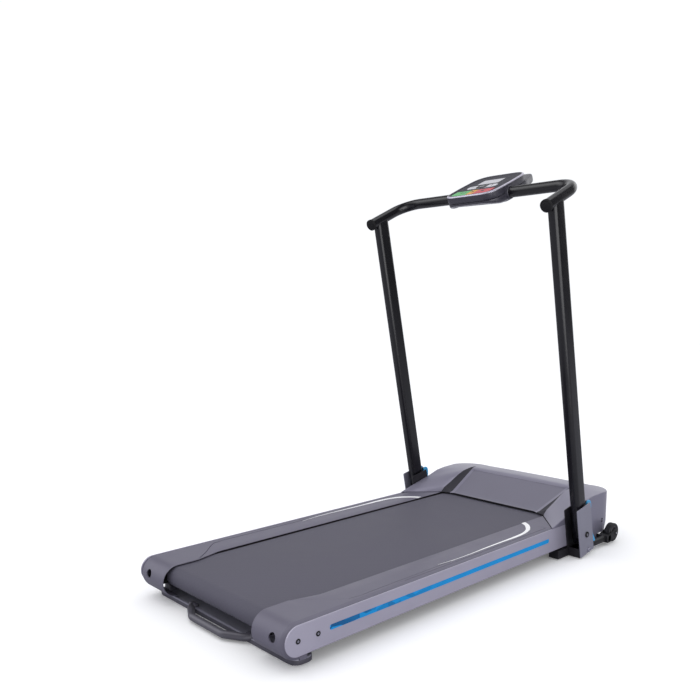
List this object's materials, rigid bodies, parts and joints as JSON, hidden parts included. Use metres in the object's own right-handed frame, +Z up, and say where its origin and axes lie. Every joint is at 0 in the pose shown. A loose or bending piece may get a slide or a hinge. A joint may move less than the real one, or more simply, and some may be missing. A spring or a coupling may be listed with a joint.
{
  "type": "folding walking treadmill",
  "caption": "Compact folding treadmill with an endless belt on a low deck, leaning uprights joined by a bent handlebar, a tilting console and a transport stand.",
  "frame": {"origin": "centre of the footprint on the floor", "axes": "+X to the walker's right, +Y forward from the open rear end to the motor hood, +Z up"},
  "size_m": [0.6974, 1.355, 1.1445],
  "materials": {
    "steel_black": "satin powder coat, black",
    "mast_paint": "gloss powder coat, black",
    "bracket_paint": "satin powder coat, mid grey",
    "board": "phenolic faced fibreboard, waxed",
    "belt": "textured belting, fine weave",
    "rubber": "matt moulded rubber",
    "foot_rail_plastic": "fine grained moulding, graphite grey",
    "cover_silver": "satin silver grey moulding",
    "hood_plastic": "fine grained moulding, graphite grey",
    "black_plastic": "fine grained moulding, black",
    "lift_handle": "satin powder coat, dark grey",
    "zinc": "bright zinc plate",
    "roller_steel": "turned steel tube",
    "cast": "turned cast iron",
    "pulley": "die cast, turned grooves",
    "motor_case": "black enamel",
    "controller": "natural extruded aluminium",
    "lever_blue": "satin moulding, bright blue",
    "console_silver": "satin silver paint on plastic",
    "panel_film": "satin printed film, dark",
    "circuit": "solder mask, green",
    "key_green": "silicone key, green",
    "key_red": "silicone key, red",
    "key_yellow": "silicone key, amber",
    "key_white": "silicone key, white",
    "wheel_tyre": "soft solid tread",
    "wheel_hub": "moulded nylon"
  },
  "bodies": {
    "base": {"frame_rail_left": "steel_black", "frame_rail_right": "steel_black", "cross_members": "steel_black", "walking_board": "board", "deck_cushions": "rubber", "walking_belt": "belt", "foot_rail_left": "foot_rail_plastic", "foot_rail_right": "foot_rail_plastic", "side_cover_left": "cover_silver", "side_cover_right": "cover_silver", "trim_screws": "zinc", "rear_base_bar": "black_plastic", "lift_handle": "lift_handle", "floor_pads": "rubber", "end_feet": "rubber", "tension_bolts": "zinc", "rear_roller_shaft": "zinc", "front_roller_shaft": "zinc", "motor_hood": "hood_plastic", "motor_pan": "black_plastic", "drive_motor": "motor_case", "motor_bracket": "steel_black", "drive_belt": "belt", "motor_controller": "controller", "power_inlet": "black_plastic", "mast_bracket_left": "bracket_paint", "mast_bracket_right": "bracket_paint", "bracket_bolts": "zinc"},
    "rear_roller": {"rear_roller": "roller_steel", "rear_roller_bearings": "zinc"},
    "front_roller": {"front_roller": "roller_steel", "front_roller_bearings": "zinc", "roller_pulley": "pulley"},
    "motor_rotor": {"motor_shaft": "zinc", "motor_flywheel": "cast", "motor_pulley": "pulley"},
    "mast": {"upright_left": "mast_paint", "upright_right": "mast_paint", "handlebar": "mast_paint", "handlebar_caps": "rubber", "lever_mounts": "steel_black"},
    "lock_lever_left": {"lock_lever_left": "lever_blue"},
    "lock_lever_right": {"lock_lever_right": "lever_blue"},
    "console": {"console_lower_shell": "black_plastic", "console_upper_shell": "console_silver", "console_panel": "panel_film", "console_board": "circuit"},
    "start_button": {"start_button": "key_green"},
    "mode_button": {"mode_button": "key_yellow"},
    "stop_button": {"stop_button": "key_red"},
    "slower_button": {"slower_button": "key_white"},
    "program_button": {"program_button": "key_white"},
    "faster_button": {"faster_button": "key_white"},
    "safety_key": {"safety_key": "lever_blue"},
    "stand": {"stand_frame": "mast_paint"},
    "wheel_left": {"wheel_hub_left": "wheel_hub", "wheel_tyre_left": "wheel_tyre"},
    "wheel_right": {"wheel_hub_right": "wheel_hub", "wheel_tyre_right": "wheel_tyre"},
    "power_switch": {"power_switch": "black_plastic"}
  },
  "joints": [
    {"name": "mast_fold", "type": "hinge", "parent": "base", "child": "mast", "pos_m": [0, 0.4045, 0.07], "axis": [1, 0, 0], "range_deg": [0, 78.5]},
    {"name": "console_tilt", "type": "hinge", "parent": "mast", "child": "console", "pos_m": [0, 0.32764, 1.06499], "axis": [1, 0, 0], "range_deg": [-102.5, 0]},
    {"name": "lock_lever_left_pull", "type": "hinge", "parent": "mast", "child": "lock_lever_left", "pos_m": [-0.3225, 0.42765, 0.15547], "axis": [1, 0, 0], "range_deg": [0, 18], "stiffness_Nm_per_rad": 0.8, "springref_deg": -20.05},
    {"name": "lock_lever_right_pull", "type": "hinge", "parent": "mast", "child": "lock_lever_right", "pos_m": [0.3225, 0.42765, 0.15547], "axis": [1, 0, 0], "range_deg": [0, 18], "stiffness_Nm_per_rad": 0.8, "springref_deg": -20.05},
    {"name": "start_button_press", "type": "slide", "parent": "console", "child": "start_button", "axis": [0, 0.4067, -0.9135], "range_m": [0, 0.0008], "stiffness_N_per_m": 900, "springref_m": -0.0005},
    {"name": "mode_button_press", "type": "slide", "parent": "console", "child": "mode_button", "axis": [0, 0.4067, -0.9135], "range_m": [0, 0.0008], "stiffness_N_per_m": 900, "springref_m": -0.0005},
    {"name": "stop_button_press", "type": "slide", "parent": "console", "child": "stop_button", "axis": [0, 0.4067, -0.9135], "range_m": [0, 0.0008], "stiffness_N_per_m": 900, "springref_m": -0.0005},
    {"name": "slower_button_press", "type": "slide", "parent": "console", "child": "slower_button", "axis": [0, 0.4067, -0.9135], "range_m": [0, 0.0008], "stiffness_N_per_m": 900, "springref_m": -0.0005},
    {"name": "program_button_press", "type": "slide", "parent": "console", "child": "program_button", "axis": [0, 0.4067, -0.9135], "range_m": [0, 0.0008], "stiffness_N_per_m": 900, "springref_m": -0.0005},
    {"name": "faster_button_press", "type": "slide", "parent": "console", "child": "faster_button", "axis": [0, 0.4067, -0.9135], "range_m": [0, 0.0008], "stiffness_N_per_m": 900, "springref_m": -0.0005},
    {"name": "safety_key_pull", "type": "slide", "parent": "console", "child": "safety_key", "axis": [0, 0.9135, 0.4067], "range_m": [0, 0.012]},
    {"name": "front_roller_spin", "type": "hinge", "parent": "base", "child": "front_roller", "pos_m": [0, 0.4525, 0.0709], "axis": [1, 0, 0], "continuous": true},
    {"name": "rear_roller_spin", "type": "hinge", "parent": "base", "child": "rear_roller", "pos_m": [0, -0.6315, 0.0709], "axis": [1, 0, 0], "continuous": true},
    {"name": "motor_spin", "type": "hinge", "parent": "base", "child": "motor_rotor", "pos_m": [0, 0.5375, 0.084], "axis": [1, 0, 0], "continuous": true},
    {"name": "stand_swing", "type": "hinge", "parent": "base", "child": "stand", "pos_m": [0, 0.4205, 0.021], "axis": [1, 0, 0], "range_deg": [-30, 0]},
    {"name": "wheel_left_roll", "type": "hinge", "parent": "stand", "child": "wheel_left", "pos_m": [-0.3225, 0.5955, 0.032], "axis": [1, 0, 0], "continuous": true},
    {"name": "wheel_right_roll", "type": "hinge", "parent": "stand", "child": "wheel_right", "pos_m": [0.3225, 0.5955, 0.032], "axis": [1, 0, 0], "continuous": true},
    {"name": "power_switch_rock", "type": "hinge", "parent": "base", "child": "power_switch", "pos_m": [-0.086, 0.666, 0.076], "axis": [1, 0, 0], "range_deg": [-12, 0]}
  ],
  "couplings": [
    {"joint": "rear_roller_spin", "follows": "front_roller_spin", "ratio": 1},
    {"joint": "motor_spin", "follows": "front_roller_spin", "ratio": 2.7692}
  ]
}
